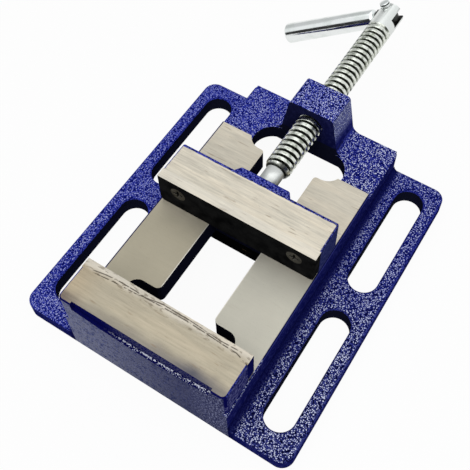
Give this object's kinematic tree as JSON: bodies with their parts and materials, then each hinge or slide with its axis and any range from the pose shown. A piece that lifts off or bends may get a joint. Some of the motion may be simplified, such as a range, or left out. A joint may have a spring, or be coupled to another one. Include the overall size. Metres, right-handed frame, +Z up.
{
  "type": "drill press vise",
  "caption": "Cast-iron drill press vise with a slotted base, a sliding jaw driven by a trapezoidal screw, and a folding lever on the end of the screw.",
  "frame": {"origin": "middle of the four bolt slots, on the underside of the base", "axes": "+X along the screw, from the fixed jaw towards the lever; +Y across the jaws, to the side where the lever lies as stored; +Z up from the base"},
  "size_m": [0.2797, 0.1716, 0.0575],
  "materials": {
    "hammered_paint": "blue hammered enamel on cast iron, with machined faces left bare",
    "jaw_plate_steel": "black oxide, with a ground upper edge",
    "black_screws": "black oxide",
    "plain_steel": "bare machined steel",
    "zinc_steel": "bright zinc plating"
  },
  "bodies": {
    "base": {"base_casting": "hammered_paint", "fixed_jaw_plate": "jaw_plate_steel", "fixed_plate_screw_1": "black_screws", "fixed_plate_screw_2": "black_screws"},
    "sliding_jaw": {"moving_jaw": "hammered_paint", "moving_jaw_plate": "jaw_plate_steel", "moving_plate_screw_1": "black_screws", "moving_plate_screw_2": "black_screws", "keeper_plate": "plain_steel", "keeper_screw_1": "zinc_steel", "keeper_screw_2": "zinc_steel", "keeper_washer_1": "zinc_steel", "keeper_washer_2": "zinc_steel", "retaining_pin_1": "plain_steel", "retaining_pin_2": "plain_steel", "thrust_button": "plain_steel"},
    "screw": {"lead_screw": "zinc_steel", "pivot_pin": "zinc_steel", "pivot_washer": "zinc_steel"},
    "folding_lever": {"lever": "zinc_steel"}
  },
  "joints": [
    {"name": "jaw_slide", "type": "slide", "parent": "base", "child": "sliding_jaw", "axis": [1, 0, 0], "range_m": [-0.06, 0.0391]},
    {"name": "screw_turn", "type": "hinge", "parent": "sliding_jaw", "child": "screw", "pos_m": [0, 0, 0.04475], "axis": [1, 0, 0], "range_deg": [-5400, 3510]},
    {"name": "lever_fold", "type": "hinge", "parent": "screw", "child": "folding_lever", "pos_m": [0.1776, 0, 0.04475], "axis": [0, 0.5045, 0.8634], "range_deg": [-203.4, 0]}
  ],
  "couplings": [
    {"joint": "jaw_slide", "follows": "screw_turn", "m_per_rad": 0.00063662}
  ]
}
